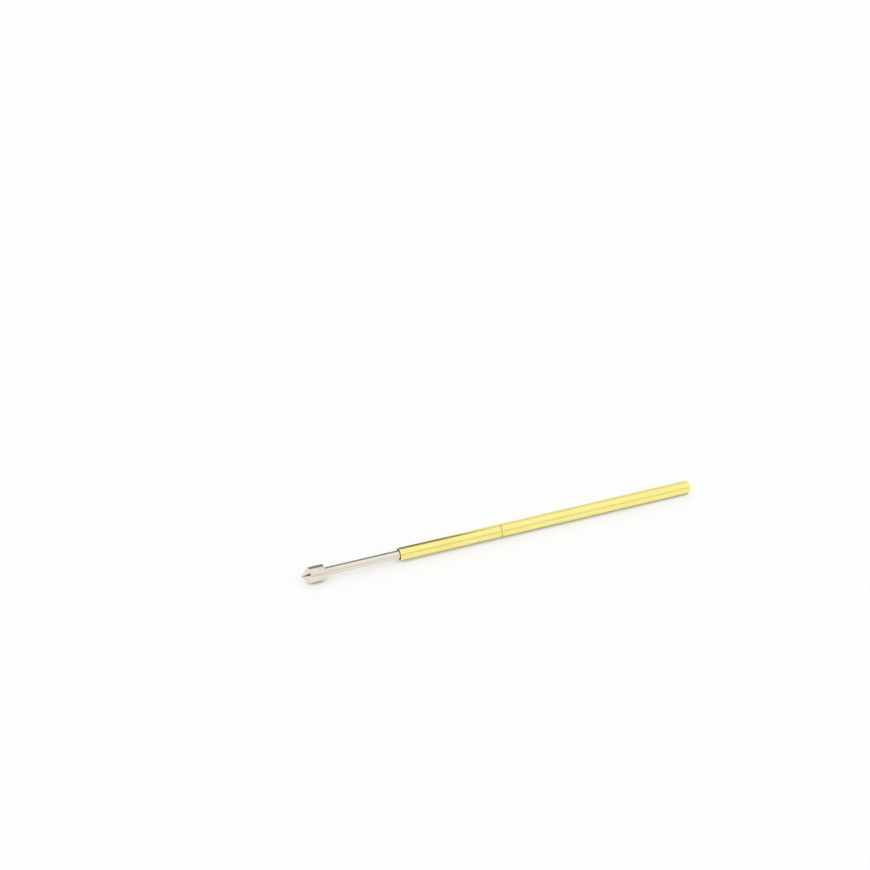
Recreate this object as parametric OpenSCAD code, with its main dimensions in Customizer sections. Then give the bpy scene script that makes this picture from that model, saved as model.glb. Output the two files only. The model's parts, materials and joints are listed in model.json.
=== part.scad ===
// Spring-loaded contact pin ("pogo pin"): a closed, gold-plated tube, a turned plunger with
// a 90 degree cone point, and the compression spring between them.
// The axis is +X. The origin is the centre of the tube's mouth; the plunger points to -X.

/* [Barrel] */
// Length of the barrel from its mouth to its closed end
barrel_len = 24.85; // [22:0.05:30]
// Outer diameter of the barrel
barrel_d = 1.04; // [1:0.01:1.3]
// Wall thickness of the drawn tube
barrel_wall = 0.1; // [0.07:0.01:0.12]
// Thickness of the closed end
end_wall = 0.35; // [0.3:0.01:0.6]
// Radius of the outer corner of the closed end
end_round = 0.14; // [0.08:0.01:0.28]
// Edge break round the mouth, outside and inside
mouth_break = 0.03; // [0.01:0.005:0.035]

/* [Retention groove] */
// Width of the groove that is rolled round the barrel
groove_w = 0.24; // [0.2:0.02:0.4]
// Depth of the groove, and height of the bead that it raises in the bore
groove_depth = 0.05; // [0.04:0.005:0.075]

/* [Plunger head] */
// Diameter of the head
head_d = 1.3; // [1.1:0.02:1.6]
// Length of the head behind its cone, down to its back face
head_len = 1.25; // [0.6:0.05:2]
// Full angle of the cone point
point_angle = 90; // [60:5:120]
// Radius at the very tip of the cone
point_round = 0.03; // [0.01:0.01:0.06]
// Edge break at the back of the head
head_break = 0.07; // [0.02:0.01:0.1]

/* [Plunger stem] */
// Diameter of the shaft that shows between the head and the barrel
shaft_d = 0.68; // [0.6:0.01:0.7]
// Diameter of the neck that passes through the retention bead
neck_d = 0.54; // [0.4:0.02:0.56]
// Radial running clearance between the bearing lands and the bore
land_clearance = 0.02; // [0.012:0.002:0.03]
// Depth of the front bearing land inside the mouth, at rest
front_land_in = 0.3; // [0.1:0.05:0.6]
// Length of the front bearing land
front_land_len = 1.75; // [0.8:0.05:2.4]
// Length of the rear bearing land
rear_land_len = 1.8; // [0.8:0.1:2.4]
// Edge break on the bearing lands
land_break = 0.03; // [0.01:0.01:0.05]
// Length of the pilot that centres the spring
pilot_len = 0.6; // [0.3:0.1:1]

/* [Travel] */
// Full travel of the plunger
full_travel = 6.2; // [3:0.05:6.5]
// Gap left between the head and the mouth at full travel
head_gap = 0.05; // [0.02:0.01:0.5]
// Gap left between the front land and the bead at full travel
land_gap = 0.18; // [0.05:0.01:0.5]
// Gap between the rear land and the bead at rest
stop_gap = 0.02; // [0.01:0.005:0.04]

/* [Spring] */
// Wire diameter
wire_d = 0.14; // [0.11:0.01:0.15]
// Radial clearance between the spring and the bore
spring_clearance = 0.03; // [0.02:0.005:0.05]
// Radial clearance between the pilot and the spring
pilot_clearance = 0.04; // [0.03:0.005:0.06]
// Room that the closed coils leave at full travel
coil_reserve = 0.9; // [0.3:0.1:2]
// Closed turns at each end
closed_turns = 1; // [1:0.5:2]

/* [Hidden] */

around = 128;      // facets of a full turn
arc_steps = 6;     // straight steps in a rounded corner
groove_steps = 16; // straight steps across the rolled groove
coil_steps = 12;   // rings of the wire in each turn
wire_sides = 6;    // sides of the wire
seat_grind = 0.2;  // share of the wire that is ground off the spring's ends
coil_rise = 1.04;  // pitch of the closed turns, in wire diameters

barrel_r = barrel_d / 2;
bore_r = barrel_r - barrel_wall;
bead_r = bore_r - groove_depth;
bore_end = barrel_len - end_wall;

land_r = bore_r - land_clearance;
shaft_r = shaft_d / 2;
neck_r = neck_d / 2;
head_r = head_d / 2;

// Along the axis, from the mouth at 0: the groove sits where the front land stops short of it.
front_land_end = front_land_in + front_land_len;
groove_x = front_land_end + full_travel + land_gap + groove_w / 2;
rear_land_x = groove_x + groove_w / 2 + stop_gap;
rear_land_end = rear_land_x + rear_land_len;
head_back = -(full_travel + head_gap);
head_front = head_back - head_len;

// The cone's flank starts where its rounded tip ends.
half_angle = point_angle / 2;
point_x = head_front - head_r / tan(half_angle);
tip_centre = point_x + point_round / sin(half_angle);

spring_r = bore_r - spring_clearance - wire_d / 2;
pilot_r = spring_r - wire_d / 2 - pilot_clearance;
spring_room = bore_end - rear_land_end;
turns = floor((spring_room - full_travel - coil_reserve) / wire_d);
end_inset = (0.5 - seat_grind) * wire_d;

// Points of an arc about (r, x), from angle a to angle b.
function arc(r, x, radius, a, b) =
    [for (i = [0:arc_steps]) let (t = a + (b - a) * i / arc_steps) [r + radius * cos(t), x + radius * sin(t)]];

// Points across the rolled groove on a wall of radius r: a raised cosine, run in direction dir.
function rolled(r, dir) =
    [for (i = [0:groove_steps])
        let (u = dir * (i / groove_steps - 0.5))
        [r - groove_depth * (1 + cos(360 * u)) / 2, groove_x + u * groove_w]];

// Centre line of the wire along the axis, after t turns: closed turns lie side by side at both ends,
// and the free turns share what is left.
closed_rise = coil_rise * wire_d;
free_rise = (spring_room - 2 * end_inset - 2 * closed_turns * closed_rise) / (turns - 2 * closed_turns);
function coil_x(t) =
    rear_land_end + end_inset
    + closed_rise * (min(t, closed_turns) + max(t - turns + closed_turns, 0))
    + free_rise * min(max(t - closed_turns, 0), turns - 2 * closed_turns);

// Revolves an outline of [radius, position] points about the X axis.
module turned(outline) {
    rotate([0, 90, 0])
        rotate_extrude($fn = around)
            polygon(outline);
}

// Drawn tube with a closed end; the groove rolled into it raises the bead that keeps the plunger in.
module barrel() {
    inner_round = end_round / 2;
    color("gold")
        turned(concat(
            arc(barrel_r - mouth_break, mouth_break, mouth_break, -90, 0),
            rolled(barrel_r, 1),
            arc(barrel_r - end_round, barrel_len - end_round, end_round, 0, 90),
            [[0, barrel_len], [0, bore_end]],
            arc(bore_r - inner_round, bore_end - inner_round, inner_round, 90, 0),
            rolled(bore_r, -1),
            [[bore_r, mouth_break], [bore_r + mouth_break, 0]]
        ));
}

// One bar, turned: cone point, head, shaft, front land, neck, rear land and spring pilot.
module plunger() {
    pilot_end = rear_land_end + pilot_len;
    color("silver")
        turned(concat(
            arc(0, tip_centre, point_round, -90, -half_angle),
            [[head_r, head_front],
             [head_r, head_back - head_break], [head_r - head_break, head_back],
             [shaft_r, head_back],
             [shaft_r, front_land_in], [land_r - land_break, front_land_in],
             [land_r, front_land_in + land_break],
             [land_r, front_land_end - land_break], [land_r - land_break, front_land_end],
             [neck_r, front_land_end],
             [neck_r, rear_land_x], [land_r - land_break, rear_land_x],
             [land_r, rear_land_x + land_break],
             [land_r, rear_land_end - land_break], [land_r - land_break, rear_land_end],
             [pilot_r, rear_land_end],
             [pilot_r, pilot_end - pilot_r / 2], [pilot_r / 2, pilot_end], [0, pilot_end]]
        ));
}

// Compression spring with closed, ground ends, swept as one closed skin.
module spring() {
    rings = turns * coil_steps;
    points = [
        for (k = [0:rings])
            let (t = k / coil_steps, a = 360 * t, x = coil_x(t))
            for (j = [0:wire_sides - 1])
                let (
                    b = 360 * j / wire_sides,
                    r = spring_r + wire_d / 2 * cos(b),
                    px = min(max(x + wire_d / 2 * sin(b), rear_land_end), bore_end)
                )
                [px, r * cos(a), r * sin(a)]
    ];
    sides = [
        for (k = [0:rings - 1], j = [0:wire_sides - 1])
            let (n = (j + 1) % wire_sides, here = k * wire_sides, next = here + wire_sides)
            each [[here + j, next + n, next + j], [here + j, here + n, next + n]]
    ];
    first = [for (j = [0:wire_sides - 1]) j];
    last = [for (j = [wire_sides - 1:-1:0]) rings * wire_sides + j];
    color("lightsteelblue")
        polyhedron(points, concat(sides, [last, first]));
}

barrel();
plunger();
spring();
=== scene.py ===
import json
import math

import bpy
import numpy as np
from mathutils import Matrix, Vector


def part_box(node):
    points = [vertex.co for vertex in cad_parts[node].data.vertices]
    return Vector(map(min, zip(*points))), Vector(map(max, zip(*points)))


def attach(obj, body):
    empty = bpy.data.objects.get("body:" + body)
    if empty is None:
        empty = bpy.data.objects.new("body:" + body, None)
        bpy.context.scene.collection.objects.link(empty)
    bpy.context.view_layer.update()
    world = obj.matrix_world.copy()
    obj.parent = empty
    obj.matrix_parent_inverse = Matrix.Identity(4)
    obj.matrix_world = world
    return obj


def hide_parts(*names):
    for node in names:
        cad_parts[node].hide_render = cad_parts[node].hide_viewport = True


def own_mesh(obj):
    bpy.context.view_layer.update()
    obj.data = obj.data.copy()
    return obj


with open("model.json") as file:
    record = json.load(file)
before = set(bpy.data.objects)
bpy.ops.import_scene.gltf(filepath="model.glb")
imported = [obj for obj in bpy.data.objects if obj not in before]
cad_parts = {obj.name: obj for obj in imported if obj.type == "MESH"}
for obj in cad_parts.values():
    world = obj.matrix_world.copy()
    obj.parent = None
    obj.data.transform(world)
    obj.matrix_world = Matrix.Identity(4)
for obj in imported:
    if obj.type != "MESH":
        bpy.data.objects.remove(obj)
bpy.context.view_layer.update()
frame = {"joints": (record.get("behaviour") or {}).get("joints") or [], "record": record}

# ---------------------------------------------------------------------------------------------
# Barrel: one brass tube, deep drawn with a closed end and plated with bright gold. The groove
# is rolled round it once the plunger is in, and the bead that this raises in the bore keeps the
# plunger from coming out. The mouth is a plain cut edge. From its inner edge on, the bore is
# rougher and painted near black as shade, and a thin line of painted shade runs in the groove.
# ---------------------------------------------------------------------------------------------
mm = 0.001
record = frame["record"]
barrel_mount = next(m for m in record["mounts"] if m["name"] == "barrel")
travel = frame["joints"][0]["range_m"][1]

barrel_r = barrel_mount["dims"]["r_mm"] * mm
barrel_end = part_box("barrel")[1].x
barrel_wall = 0.10 * mm
end_round = 0.14 * mm
mouth_break = 0.03 * mm
bore_r = barrel_r - barrel_wall
spring_start, bore_end = (corner.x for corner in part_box("spring"))

rear_land_length = 1.8 * mm
stop_gap = 0.02 * mm
groove_width = 0.24 * mm
groove_depth = 0.05 * mm
groove_x = spring_start - rear_land_length - stop_gap - groove_width / 2


def arc(centre_x, centre_r, radius, start, end, steps=10):
    """Points (x, r) on a circle: centre plus radius times (cos, sin) of angles, in degrees."""
    t = np.radians(np.linspace(start, end, steps + 1))
    return np.column_stack((centre_x + radius * np.cos(t), centre_r + radius * np.sin(t)))


def rolled_groove(wall_r, steps=28):
    """Points (x, r) across the groove: the wall's radius less a raised cosine of the groove's depth."""
    u = np.linspace(-0.5, 0.5, steps + 1)
    dip = groove_depth * (1 + np.cos(2 * np.pi * u)) / 2
    return np.column_stack((groove_x + u * groove_width, wall_r - dip))


def closer(outline, longest=0.5 * mm):
    """The same outline with points added on its long straight runs, so that no step is over the longest."""
    steps = np.maximum(1, np.ceil(np.linalg.norm(np.diff(outline, axis=0), axis=1) / longest)).astype(int)
    runs = [np.linspace(a, b, n, endpoint=False) for a, b, n in zip(outline[:-1], outline[1:], steps)]
    return np.vstack(runs + [outline[-1:]])


def mesh_piece(name, points, faces, sharp_deg=35):
    """A smooth-shaded mesh object at the origin, with the edges that turn more than sharp_deg kept sharp."""
    mesh = bpy.data.meshes.new(name)
    mesh.from_pydata(points.tolist(), [], faces)
    mesh.polygons.foreach_set("use_smooth", np.ones(len(mesh.polygons), bool))
    mesh.set_sharp_from_angle(angle=math.radians(sharp_deg))
    piece = bpy.data.objects.new(name, mesh)
    bpy.context.scene.collection.objects.link(piece)
    return piece


def turned_piece(name, outline, sides=192):
    """Surface of revolution about X: outline point (x, r) at angle t is (x, r sin t, r cos t).
    The outline starts and ends on the axis, where a fan of triangles closes the skin at one pole."""
    t = 2 * np.pi * np.arange(sides) / sides
    x, r = outline[1:-1, 0, None], outline[1:-1, 1, None]
    rows = np.stack((x + 0 * t, r * np.sin(t), r * np.cos(t)), axis=-1).reshape(-1, 3)
    poles = [[outline[0, 0], 0, 0], [outline[-1, 0], 0, 0]]
    points = np.vstack((rows, poles))
    here = np.arange(len(rows)).reshape(-1, sides)
    round_on = np.roll(here, -1, axis=1)
    quads = np.stack((here[:-1], here[1:], round_on[1:], round_on[:-1]), axis=-1).reshape(-1, 4)
    first, last = len(rows), len(rows) + 1
    fans = [[first, a, b] for a, b in zip(here[0], round_on[0])]
    fans += [[last, b, a] for a, b in zip(here[-1], round_on[-1])]
    return mesh_piece(name, points, quads.tolist() + fans)


# Seen in section, from the middle of the bore's floor, out of the mouth and back along the outside.
inner_round = end_round / 2
barrel_outline = np.vstack((
    [[bore_end, 0]],
    arc(bore_end - inner_round, bore_r - inner_round, inner_round, 0, 90),
    rolled_groove(bore_r)[::-1],
    arc(mouth_break, bore_r + mouth_break, mouth_break, 270, 180, 5),
    arc(mouth_break, barrel_r - mouth_break, mouth_break, 180, 90, 5),
    rolled_groove(barrel_r),
    arc(barrel_end - end_round, barrel_r - end_round, end_round, 90, 0),
    [[barrel_end, 0]],
))
barrel = turned_piece("plated_barrel", closer(barrel_outline)[::-1])

# How rough and dark the plating is: 1 in the bore, from the inner edge of the mouth on, which is
# rougher and painted near black as shade, and 0 on the outside, apart from a thin line of painted
# shade along the bottom of the groove.
groove_shade_width = 0.035 * mm
groove_shade_strength = 0.6
mouth_edge_r = bore_r + 0.75 * mouth_break
end_wall_middle = (bore_end + barrel_end) / 2
points = np.array([v.co for v in barrel.data.vertices])
radius = np.hypot(points[:, 1], points[:, 2])
inside = (radius < mouth_edge_r) & (points[:, 0] < end_wall_middle)
# Painted shade: a thin dark line along the bottom of the groove, added to the mask.
groove_shade = groove_shade_strength * np.exp(-((points[:, 0] - groove_x) / groove_shade_width) ** 2)
dull_and_shade = barrel.data.attributes.new("dull_and_shade", "FLOAT", "POINT")
dull_and_shade.data.foreach_set("value", np.where(inside, 1, groove_shade).astype(np.float32))


def socket_maker(tree):
    """Returns a function that adds a node of a kind, sets its settings, and links or sets its inputs."""
    def add(kind, inputs=None, **settings):
        node = tree.nodes.new(kind)
        for key, value in settings.items():
            setattr(node, key, value)
        for key, value in (inputs or {}).items():
            if isinstance(value, bpy.types.NodeSocket):
                tree.links.new(value, node.inputs[key])
            else:
                node.inputs[key].default_value = value
        return node
    return add


def blank_material(name):
    """A new material with an empty node tree, and the function that adds nodes to it."""
    material = bpy.data.materials.new(name)
    material.use_nodes = True
    material.node_tree.nodes.clear()
    return material, socket_maker(material.node_tree)


def shader_group(name, inputs, outputs):
    """An empty node group with named inputs (name, type, default) and outputs (name, type)."""
    tree = bpy.data.node_groups.new(name, "ShaderNodeTree")
    for label, kind, default in inputs:
        item = tree.interface.new_socket(label, in_out="INPUT", socket_type=kind)
        if default is not None:
            item.default_value = default
    for label, kind in outputs:
        tree.interface.new_socket(label, in_out="OUTPUT", socket_type=kind)
    return tree, tree.nodes.new("NodeGroupInput").outputs, tree.nodes.new("NodeGroupOutput").inputs


def tool_lines():
    """Lines that a die, a lathe tool or a drawing plate leaves: noise stretched by the given scales."""
    tree, given, out = shader_group(
        "tool_lines",
        [("Position", "NodeSocketVector", None), ("Lines", "NodeSocketVector", (1.0, 1.0, 1.0))],
        [("Height", "NodeSocketFloat"), ("Shade", "NodeSocketFloat")],
    )
    add = socket_maker(tree)
    stretched = add("ShaderNodeVectorMath", {0: given["Position"], 1: given["Lines"]}, operation="MULTIPLY")
    fine = add("ShaderNodeTexNoise", {"Vector": stretched.outputs[0], "Scale": 1.0, "Detail": 3.0})
    broad = add("ShaderNodeTexNoise", {"Vector": stretched.outputs[0], "Scale": 0.21, "Detail": 1.0})
    both = add("ShaderNodeMix", {0: 0.4, 2: fine.outputs[0], 3: broad.outputs[0]}, data_type="FLOAT")
    shade = add("ShaderNodeMapRange", {0: both.outputs[0], 1: 0.35, 2: 0.65})
    tree.links.new(both.outputs[0], out["Height"])
    tree.links.new(shade.outputs[0], out["Shade"])
    return tree


def handling_marks():
    """Sparse faint scuffs from handling: the rare peaks of two crossed, stretched noises."""
    tree, given, out = shader_group(
        "handling_marks",
        [
            ("Position", "NodeSocketVector", None),
            ("Scale", "NodeSocketFloat", 1.0),
            ("Amount", "NodeSocketFloat", 0.5),
        ],
        [("Mask", "NodeSocketFloat")],
    )
    add = socket_maker(tree)
    peaks = []
    for turn in (0.5, -0.8):
        turned_to = add("ShaderNodeVectorRotate", {
            "Vector": given["Position"], "Angle": turn,
        }, rotation_type="Z_AXIS")
        slim = add("ShaderNodeVectorMath", {
            0: turned_to.outputs[0], 1: (0.15, 1.0, 1.0),
        }, operation="MULTIPLY")
        noise = add("ShaderNodeTexNoise", {"Vector": slim.outputs[0], "Scale": given["Scale"], "Detail": 2.0})
        peaks.append(add("ShaderNodeMapRange", {0: noise.outputs[0], 1: 0.66, 2: 0.74}).outputs[0])
    most = add("ShaderNodeMath", {0: peaks[0], 1: peaks[1]}, operation="MAXIMUM")
    mask = add("ShaderNodeMath", {0: most.outputs[0], 1: given["Amount"]}, operation="MULTIPLY")
    tree.links.new(mask.outputs[0], out["Mask"])
    return tree


def metal(name, pale, deep, lines, line_depth, rough, marks, marks_scale):
    """A plated or drawn metal: two tints mixed slowly, tool lines in roughness and relief, faint scuffs.
    Returns the material with the nodes that a piece of its own may build on."""
    material, add = blank_material(name)
    position = add("ShaderNodeTexCoord").outputs["Object"]
    tint = add("ShaderNodeTexNoise", {"Vector": position, "Scale": 420.0, "Detail": 2.0})
    tint = add("ShaderNodeMapRange", {0: tint.outputs[0], 1: 0.3, 2: 0.7})
    tool = add("ShaderNodeGroup", {
        "Position": position, "Lines": lines,
    }, node_tree=bpy.data.node_groups["tool_lines"])
    scuff = add("ShaderNodeGroup", {
        "Position": position, "Scale": marks_scale, "Amount": marks,
    }, node_tree=bpy.data.node_groups["handling_marks"])
    mixed = add("ShaderNodeMath", {0: tint.outputs[0], 1: tool.outputs["Shade"]}, operation="MULTIPLY")
    colour = add("ShaderNodeMix", {0: mixed.outputs[0], 6: (*pale, 1), 7: (*deep, 1)}, data_type="RGBA")
    lined = add("ShaderNodeMapRange", {0: tool.outputs["Shade"], 3: rough[0], 4: rough[1]})
    rougher = add("ShaderNodeMath", {0: lined.outputs[0], 1: scuff.outputs["Mask"]}, operation="ADD")
    bump = add("ShaderNodeBump", {"Strength": 1.0, "Distance": line_depth, "Height": tool.outputs["Height"]})
    shader = add("ShaderNodeBsdfPrincipled", {
        "Base Color": colour.outputs[2], "Metallic": 1.0, "Roughness": rougher.outputs[0],
        "Normal": bump.outputs[0],
    })
    add("ShaderNodeOutputMaterial", {0: shader.outputs[0]})
    return material, add, shader, colour.outputs[2], rougher.outputs[0]


def gold_plating():
    """Bright gold over drawn brass: lines run along the tube. The bore is rougher and painted
    near black as shade, and a thin line of painted shade runs along the bottom of the groove.
    """
    material, add, shader, colour, rough = metal(
        "gold_plating", pale=(1.0, 0.90, 0.33), deep=(0.93, 0.80, 0.26),
        lines=(350, 26000, 26000), line_depth=0.5e-6, rough=(0.12, 0.2), marks=0.15, marks_scale=5200,
    )
    dull_and_shade_part = add("ShaderNodeAttribute", attribute_name="dull_and_shade").outputs["Fac"]
    # Painted shade: where the attribute read above is 1, the colour goes to near black, in the bore and in a
    # thin line along the groove's bottom.
    shaded = add("ShaderNodeMix", {0: dull_and_shade_part, 6: colour, 7: (0.07, 0.048, 0.016, 1)}, data_type="RGBA")
    dulled = add("ShaderNodeMix", {0: dull_and_shade_part, 2: rough, 3: 0.5}, data_type="FLOAT")
    material.node_tree.links.new(shaded.outputs[2], shader.inputs["Base Color"])
    material.node_tree.links.new(dulled.outputs[0], shader.inputs["Roughness"])
    return material


tool_lines()
handling_marks()
barrel.data.materials.append(gold_plating())
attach(barrel, "barrel")
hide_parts("barrel")

# ---------------------------------------------------------------------------------------------
# Plunger: one bar of hard copper alloy, turned on a lathe and plated with bright nickel. In
# front a 90 degree cone on a short wide head, then the shaft; inside the barrel a front bearing
# land, the neck that passes the bead, the rear land that stops on it, and the spring's pilot.
# ---------------------------------------------------------------------------------------------
head_r = 0.65 * mm
head_length = 1.25 * mm
head_gap = 0.05 * mm
head_break = 0.07 * mm
point_round = 0.03 * mm
half_point_deg = 45
rim_round = 0.012 * mm
shaft_r = 0.34 * mm
shaft_fillet = 0.03 * mm
neck_r = 0.27 * mm
land_clearance = 0.02 * mm
land_r = bore_r - land_clearance
land_break = 0.03 * mm
front_land = (0.3 * mm, 2.05 * mm)
rear_land = (spring_start - rear_land_length, spring_start)
pilot_r = 0.21 * mm
pilot_length = 0.6 * mm
pilot_end = rear_land[1] + pilot_length

head_back = -(travel + head_gap)
head_front = head_back - head_length
point_x = head_front - head_r / math.tan(math.radians(half_point_deg))
tip_centre = point_x + point_round / math.sin(math.radians(half_point_deg))
rim_centre = head_front + 0.41 * rim_round


def land_outline(start, end, before_r, after_r):
    """Points (x, r) of a bearing land between two thinner stretches, with both its edges broken."""
    return [
        [start, before_r], [start, land_r - land_break], [start + land_break, land_r],
        [end - land_break, land_r], [end, land_r - land_break], [end, after_r],
    ]


plunger_outline = np.vstack((
    arc(tip_centre, 0, point_round, 180, 90 + half_point_deg, 6),
    arc(rim_centre, head_r - rim_round, rim_round, 90 + half_point_deg, 90, 3),
    arc(head_back - head_break, head_r - head_break, head_break, 90, 0, 6),
    arc(head_back + shaft_fillet, shaft_r + shaft_fillet, shaft_fillet, 180, 270, 5),
    land_outline(*front_land, shaft_r, neck_r),
    land_outline(*rear_land, neck_r, pilot_r),
    [[pilot_end - pilot_r / 2, pilot_r], [pilot_end, pilot_r / 2], [pilot_end, 0]],
))
plunger = turned_piece("turned_plunger", closer(plunger_outline))


def nickel_plating():
    """Bright, slightly warm nickel over a turned bar: the tool's rings run round the axis."""
    return metal(
        "nickel_plating", pale=(0.84, 0.80, 0.68), deep=(0.70, 0.65, 0.54),
        lines=(24000, 420, 420), line_depth=0.6e-6, rough=(0.14, 0.24), marks=0.12, marks_scale=4300,
    )[0]


plunger.data.materials.append(nickel_plating())
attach(plunger, "plunger")
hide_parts("plunger")

# ---------------------------------------------------------------------------------------------
# Spring: stainless wire, cold coiled, with its last turns closed and ground flat. It sits on the
# plunger's rear land, round the pilot, and on the closed end of the barrel, and is preloaded.
# ---------------------------------------------------------------------------------------------
wire_r = 0.07 * mm
spring_clearance = 0.03 * mm
spring_r = bore_r - spring_clearance - wire_r
spring_turns = 49
closed_turns = 1
closed_pitch = 1.04 * 2 * wire_r
ground_off = 0.2 * 2 * wire_r


def coil_spring(name, steps=32, sides=12):
    """Wire swept on a helix: ring centre (x(t), R sin t, R cos t), and round it the wire's own circle.
    x(t) rises by the closed pitch in the end turns and evenly between them; the ends are cut off flat."""
    turn = np.arange(spring_turns * steps + 1)[:, None] / steps
    inset = wire_r - ground_off
    free_length = bore_end - spring_start - 2 * inset - 2 * closed_turns * closed_pitch
    free_pitch = free_length / (spring_turns - 2 * closed_turns)
    in_closed = np.minimum(turn, closed_turns) + np.maximum(turn - spring_turns + closed_turns, 0)
    x = spring_start + inset + closed_pitch * in_closed + free_pitch * (turn - in_closed)
    round_wire = 2 * np.pi * np.arange(sides)[None, :] / sides
    r = spring_r + wire_r * np.cos(round_wire)
    px = np.clip(x + wire_r * np.sin(round_wire), spring_start, bore_end)
    t = 2 * np.pi * turn
    points = np.stack((px, r * np.sin(t), r * np.cos(t)), axis=-1).reshape(-1, 3)
    here = np.arange(len(points)).reshape(-1, sides)
    beside = np.roll(here, -1, axis=1)
    quads = np.stack((here[:-1], here[1:], beside[1:], beside[:-1]), axis=-1).reshape(-1, 4)
    return mesh_piece(name, points, quads.tolist() + [here[0].tolist(), here[-1][::-1].tolist()])


spring = coil_spring("coil_spring")


def spring_steel():
    """Drawn stainless wire: soft sheen, fine drawing lines."""
    return metal(
        "spring_steel", pale=(0.62, 0.61, 0.59), deep=(0.42, 0.41, 0.40),
        lines=(9000, 9000, 9000), line_depth=0.4e-6, rough=(0.22, 0.34), marks=0.1, marks_scale=3500,
    )[0]


spring.data.materials.append(spring_steel())
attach(spring, "barrel")
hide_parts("spring")
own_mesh(spring)

# ---------------------------------------------------------------------------------------------
# Table: a matt white sweep. The pin lies on the back edge of its head and on its tail, so the
# table tilts against the pin's axis by a quarter of a degree.
# ---------------------------------------------------------------------------------------------
table_size = 1.2
shade_share = 0.50
white_share = 0.51
contact_reach = 0.6 * mm
table_rest = (head_back - head_break, barrel_end - end_round)
table_slope = (head_r - barrel_r) / (table_rest[1] - table_rest[0])


def table_top(rows=9):
    """A flat grid: height is minus the head's radius at the head's back edge, rising to the tail."""
    side = np.linspace(-table_size / 2, table_size / 2, rows)
    x, y = np.meshgrid(side, side, indexing="ij")
    z = -head_r + (x - table_rest[0]) * table_slope
    points = np.stack((x, y, z), axis=-1).reshape(-1, 3)
    here = np.arange(len(points)).reshape(x.shape)
    quads = np.stack((here[:-1, :-1], here[1:, :-1], here[1:, 1:], here[:-1, 1:]), axis=-1)
    return mesh_piece("table", points, quads.reshape(-1, 4).tolist())


def seen_in_metal(add, path):
    """1 on rays that shiny or clear surfaces send on, and 0 on all others."""
    return add("ShaderNodeMath", {
        0: path["Is Glossy Ray"], 1: path["Is Transmission Ray"],
    }, operation="MAXIMUM").outputs[0]


def white_board():
    """Matt white board with the faintest mottle. Where it is seen, by itself or in the metal, it shows
    part of its shade over plain white, which goes back to the shade close in under the pin."""
    material, add = blank_material("white_board")
    position = add("ShaderNodeTexCoord").outputs["Object"]
    mottle = add("ShaderNodeTexNoise", {"Vector": position, "Scale": 60.0, "Detail": 3.0})
    tone = add("ShaderNodeMix", {
        0: mottle.outputs[0], 6: (0.985, 0.985, 0.985, 1), 7: (0.975, 0.975, 0.975, 1),
    }, data_type="RGBA")
    board = add("ShaderNodeBsdfDiffuse", {"Color": tone.outputs[2]})
    shade = add("ShaderNodeMix", {0: 1 - shade_share, 6: tone.outputs[2], 7: (0, 0, 0, 1)}, data_type="RGBA")
    shaded = add("ShaderNodeBsdfDiffuse", {"Color": shade.outputs[2]})
    near = add("ShaderNodeAmbientOcclusion", {"Distance": contact_reach}, samples=16)
    open_sky = add("ShaderNodeMapRange", {
        0: near.outputs["AO"], 1: 0.05, 2: 0.5, 3: 0.1 * white_share, 4: white_share,
    })
    white = add("ShaderNodeEmission", {0: (1, 1, 1, 1), 1: open_sky.outputs[0]})
    lightened = add("ShaderNodeAddShader", {0: shaded.outputs[0], 1: white.outputs[0]})
    path = add("ShaderNodeLightPath").outputs
    seen = add("ShaderNodeMath", {
        0: path["Is Camera Ray"], 1: seen_in_metal(add, path),
    }, operation="MAXIMUM")
    either = add("ShaderNodeMixShader", {0: seen.outputs[0], 1: board.outputs[0], 2: lightened.outputs[0]})
    add("ShaderNodeOutputMaterial", {0: either.outputs[0]})
    return material


table = table_top()
table.data.materials.append(white_board())

# ---------------------------------------------------------------------------------------------
# Camera: a long lens a little above the table, with the plunger's point to the left and nearer.
# ---------------------------------------------------------------------------------------------
view_azimuth = math.radians(-21.89)
view_height = math.radians(34.01)
camera_distance = 0.300
lens_mm = 157.9
aim_right = -4.93 * mm
aim_up = 7.56 * mm

back = Vector((
    math.sin(view_azimuth) * math.cos(view_height),
    -math.cos(view_azimuth) * math.cos(view_height),
    math.sin(view_height),
))
turn_to_view = (-back).to_track_quat("-Z", "Y")
right, up = turn_to_view @ Vector((1, 0, 0)), turn_to_view @ Vector((0, 1, 0))
pin_middle = Vector(((point_x + barrel_end) / 2, 0, 0))

camera_data = bpy.data.cameras.new("camera")
camera_data.lens = lens_mm
camera_data.clip_start = 0.005
camera_data.clip_end = 10
camera = bpy.data.objects.new("camera", camera_data)
camera.location = pin_middle + right * aim_right + up * aim_up + back * camera_distance
camera.rotation_mode = "QUATERNION"
camera.rotation_quaternion = turn_to_view
bpy.context.scene.collection.objects.link(camera)
bpy.context.scene.camera = camera

# ---------------------------------------------------------------------------------------------
# Light: a white tent all round. Bright metal shows it with its greyer low front and the dark
# slot of its opening, and a small grey flag behind the pin draws the dark line on its top edge.
# ---------------------------------------------------------------------------------------------
tent_light = 0.98
front_grey = 0.78
back_grey = 0.79
slot_grey = 0.06
flag_grey = 0.25


def direction(azimuth_deg, height_deg):
    """Unit vector towards a place in the tent: azimuth from the camera's side, to the left of the view."""
    a = view_azimuth - math.radians(azimuth_deg)
    h = math.radians(height_deg)
    return (math.sin(a) * math.cos(h), -math.cos(a) * math.cos(h), math.sin(h))


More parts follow.
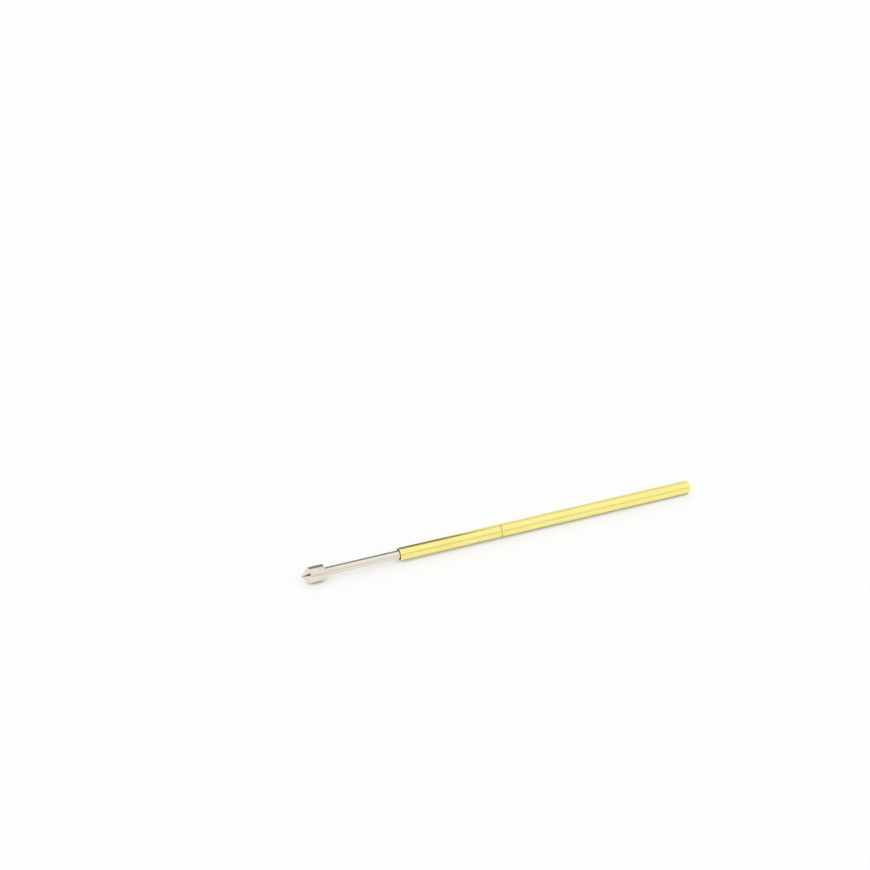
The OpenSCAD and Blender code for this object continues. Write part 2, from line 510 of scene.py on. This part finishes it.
def white_tent():
    """World light: white, and towards each soft spot mixed to its grey from an outer to an inner angle."""
    world = bpy.data.worlds.new("white_tent")
    bpy.context.scene.world = world
    world.use_nodes = True
    tree = world.node_tree
    tree.nodes.clear()
    add = socket_maker(tree)
    towards = add("ShaderNodeTexCoord").outputs["Generated"]
    white = (1.0, 1.0, 1.0, 1)
    seen = white
    spots = [
        (direction(-40, 4), 34, 10, front_grey),
        (direction(180, 22), 50, 25, back_grey),
        (direction(54, 18), 16, 11, slot_grey),
    ]
    for place, outer, inner, grey in spots:
        near = add("ShaderNodeVectorMath", {0: towards, 1: place}, operation="DOT_PRODUCT")
        inside_it = add("ShaderNodeMapRange", {
            0: near.outputs["Value"], 1: math.cos(math.radians(outer)), 2: math.cos(math.radians(inner)),
        }, interpolation_type="SMOOTHSTEP")
        seen = add("ShaderNodeMix", {
            0: inside_it.outputs[0], 6: seen, 7: (grey, grey, grey, 1),
        }, data_type="RGBA").outputs[2]
    path = add("ShaderNodeLightPath").outputs
    lit = add("ShaderNodeBackground", {0: white, 1: tent_light})
    shown = add("ShaderNodeBackground", {0: seen, 1: 1.0})
    lit_or_shown = add("ShaderNodeMixShader", {
        0: seen_in_metal(add, path), 1: lit.outputs[0], 2: shown.outputs[0],
    })
    plain = add("ShaderNodeBackground", {0: white, 1: 1.0})
    either = add("ShaderNodeMixShader", {
        0: path["Is Camera Ray"], 1: lit_or_shown.outputs[0], 2: plain.outputs[0],
    })
    add("ShaderNodeOutputWorld", {0: either.outputs[0]})


def grey_flag():
    """A round card that leans back behind the pin: centre plus radius times (cos, sin) in its own plane."""
    flag_r = 12.1 * mm
    lean = math.radians(22)
    foot = Vector((-1.9 * mm, 5.2 * mm, -head_r))
    away = Vector((-math.sin(view_azimuth), math.cos(view_azimuth), 0))
    rise = away * math.sin(lean) + Vector((0, 0, math.cos(lean)))
    centre = foot + rise * flag_r
    t = np.linspace(0, 2 * np.pi, 64, endpoint=False)[:, None]
    points = np.array(centre) + flag_r * (np.cos(t) * np.array(right) + np.sin(t) * np.array(rise))
    flag = mesh_piece("grey_flag", points, [list(range(len(points)))])
    material, add = blank_material("flag_grey")
    card = add("ShaderNodeEmission", {0: (flag_grey, flag_grey, flag_grey, 1), 1: 1.0})
    add("ShaderNodeOutputMaterial", {0: card.outputs[0]})
    flag.data.materials.append(material)
    flag.visible_camera = False
    flag.visible_diffuse = False
    flag.visible_shadow = False
    return flag


white_tent()
grey_flag()

bpy.context.scene.view_settings.view_transform = "Standard"
